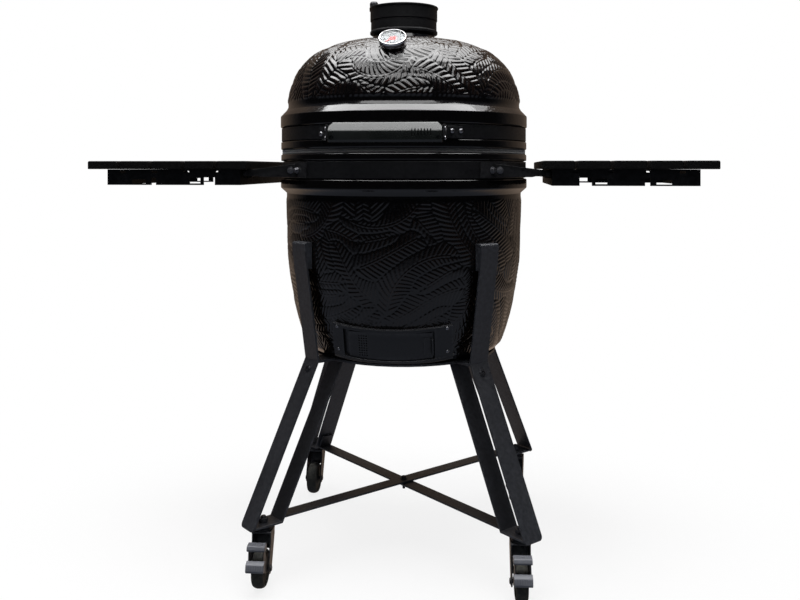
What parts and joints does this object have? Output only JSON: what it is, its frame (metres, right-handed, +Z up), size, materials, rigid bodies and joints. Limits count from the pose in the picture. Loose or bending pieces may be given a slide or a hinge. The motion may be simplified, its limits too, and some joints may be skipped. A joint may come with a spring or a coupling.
{
  "type": "kamado ceramic grill",
  "caption": "Egg-shaped ceramic charcoal grill with a hinged domed lid, cast top vent, draft door, fold-down side tables and a caster stand.",
  "frame": {"origin": "on the floor under the axis of the bowl", "axes": "+Z up, front of the grill (handle, thermometer, draft door) towards -Y, +X to the right when facing the front"},
  "size_m": [1.276, 0.67, 1.204],
  "materials": {
    "glaze": "glossy black glaze over an embossed fern relief",
    "felt": "dense heat-resistant felt",
    "firebrick": "unglazed refractory ceramic",
    "cast_grate": "raw casting",
    "bright_steel": "bright stainless",
    "band_coat": "satin black coating",
    "grip": "satin dark grey moulded grip",
    "bezel": "polished",
    "needle": "red paint",
    "lens": "clear",
    "cast_cap": "matt black coated casting",
    "stand_coat": "fine-textured anthracite powder coat",
    "slat": "black woodgrain composite",
    "tray": "black powder coat",
    "caster_steel": "black-plated pressed steel",
    "wheel": "matt black tread",
    "pedal": "light grey moulded"
  },
  "bodies": {
    "base": {"bowl": "glaze", "bowl_gasket": "felt", "firebox": "firebrick", "fire_ring": "firebrick", "charcoal_grate": "cast_grate", "cooking_grate": "bright_steel", "lower_belt": "band_coat", "hinge_lower": "band_coat", "hinge_pin": "bright_steel", "vent_frame": "band_coat", "table_left_bracket": "band_coat", "table_right_bracket": "band_coat", "base_ring": "stand_coat", "leg_outer_front_left": "stand_coat", "leg_outer_front_right": "stand_coat", "leg_outer_rear_left": "stand_coat", "leg_outer_rear_right": "stand_coat", "leg_inner_front_left": "stand_coat", "leg_inner_front_right": "stand_coat", "leg_inner_rear_left": "stand_coat", "leg_inner_rear_right": "stand_coat", "brace_upper": "stand_coat", "brace_lower": "stand_coat"},
    "lid": {"lid": "glaze", "lid_gasket": "felt", "upper_belt": "band_coat", "hinge_upper": "band_coat", "handle_grip": "grip", "handle_bracket_left": "band_coat", "handle_bracket_right": "band_coat", "thermometer_case": "bezel", "thermometer_lens": "lens", "cap_base": "cast_cap", "cap_pivot": "bright_steel"},
    "pointer": {"thermometer_pointer": "needle"},
    "cap": {"cap_lid": "cast_cap"},
    "daisy": {"cap_daisy": "cast_cap"},
    "vent_slider": {"vent_door": "band_coat"},
    "table_left": {"table_left_slat_1": "slat", "table_left_slat_2": "slat", "table_left_slat_3": "slat", "table_left_slat_4": "slat", "table_left_slat_5": "slat", "table_left_frame": "tray"},
    "table_right": {"table_right_slat_1": "slat", "table_right_slat_2": "slat", "table_right_slat_3": "slat", "table_right_slat_4": "slat", "table_right_slat_5": "slat", "table_right_frame": "tray"},
    "caster_front_left": {"caster_fork_front_left": "caster_steel"},
    "wheel_front_left": {"caster_wheel_front_left": "wheel"},
    "caster_front_right": {"caster_fork_front_right": "caster_steel"},
    "wheel_front_right": {"caster_wheel_front_right": "wheel"},
    "caster_rear_left": {"caster_fork_rear_left": "caster_steel"},
    "wheel_rear_left": {"caster_wheel_rear_left": "wheel"},
    "caster_rear_right": {"caster_fork_rear_right": "caster_steel"},
    "wheel_rear_right": {"caster_wheel_rear_right": "wheel"},
    "pedal_front_left": {"caster_pedal_front_left": "pedal"},
    "pedal_front_right": {"caster_pedal_front_right": "pedal"}
  },
  "joints": [
    {"name": "lid_hinge", "type": "hinge", "parent": "base", "child": "lid", "pos_m": [0, 0.318, 0.862], "axis": [-1, 0, 0], "range_deg": [0, 80]},
    {"name": "cap_swing", "type": "hinge", "parent": "lid", "child": "cap", "pos_m": [-0.068, 0, 1.18], "axis": [0, 0, 1], "range_deg": [0, 120]},
    {"name": "daisy_turn", "type": "hinge", "parent": "cap", "child": "daisy", "pos_m": [0, 0, 1.19], "axis": [0, 0, 1], "range_deg": [0, 30]},
    {"name": "pointer_turn", "type": "hinge", "parent": "lid", "child": "pointer", "pos_m": [0, -0.2013, 1.0828], "axis": [0, 0.6561, -0.7547], "range_deg": [0, 270]},
    {"name": "vent_slide", "type": "hinge", "parent": "base", "child": "vent_slider", "pos_m": [0, 0, 0.47], "axis": [0, 0, 1], "range_deg": [-6.4, 0]},
    {"name": "table_left_fold", "type": "hinge", "parent": "base", "child": "table_left", "pos_m": [-0.312, 0, 0.815], "axis": [0, -1, 0], "range_deg": [0, 90]},
    {"name": "table_right_fold", "type": "hinge", "parent": "base", "child": "table_right", "pos_m": [0.312, 0, 0.815], "axis": [0, 1, 0], "range_deg": [0, 90]},
    {"name": "swivel_front_left", "type": "hinge", "parent": "base", "child": "caster_front_left", "pos_m": [-0.25456, -0.25456, 0.11], "axis": [0, 0, 1], "continuous": true},
    {"name": "roll_front_left", "type": "hinge", "parent": "caster_front_left", "child": "wheel_front_left", "pos_m": [-0.25379, -0.27655, 0.0375], "axis": [0.9994, 0.0349, 0], "continuous": true},
    {"name": "brake_front_left", "type": "hinge", "parent": "caster_front_left", "child": "pedal_front_left", "pos_m": [-0.25379, -0.27655, 0.0375], "axis": [0.9994, 0.0349, 0], "range_deg": [0, 12]},
    {"name": "swivel_front_right", "type": "hinge", "parent": "base", "child": "caster_front_right", "pos_m": [0.25456, -0.25456, 0.11], "axis": [0, 0, 1], "continuous": true},
    {"name": "roll_front_right", "type": "hinge", "parent": "caster_front_right", "child": "wheel_front_right", "pos_m": [0.25609, -0.2765, 0.0375], "axis": [0.9976, 0.0698, 0], "continuous": true},
    {"name": "brake_front_right", "type": "hinge", "parent": "caster_front_right", "child": "pedal_front_right", "pos_m": [0.25609, -0.2765, 0.0375], "axis": [0.9976, 0.0698, 0], "range_deg": [0, 12]},
    {"name": "swivel_rear_left", "type": "hinge", "parent": "base", "child": "caster_rear_left", "pos_m": [-0.25456, 0.25456, 0.11], "axis": [0, 0, 1], "continuous": true},
    {"name": "roll_rear_left", "type": "hinge", "parent": "caster_rear_left", "child": "wheel_rear_left", "pos_m": [-0.25533, 0.23257, 0.0375], "axis": [0.9994, -0.0349, 0], "continuous": true},
    {"name": "swivel_rear_right", "type": "hinge", "parent": "base", "child": "caster_rear_right", "pos_m": [0.25456, 0.25456, 0.11], "axis": [0, 0, 1], "continuous": true},
    {"name": "roll_rear_right", "type": "hinge", "parent": "caster_rear_right", "child": "wheel_rear_right", "pos_m": [0.25226, 0.23268, 0.0375], "axis": [0.9945, -0.1045, 0], "continuous": true}
  ]
}
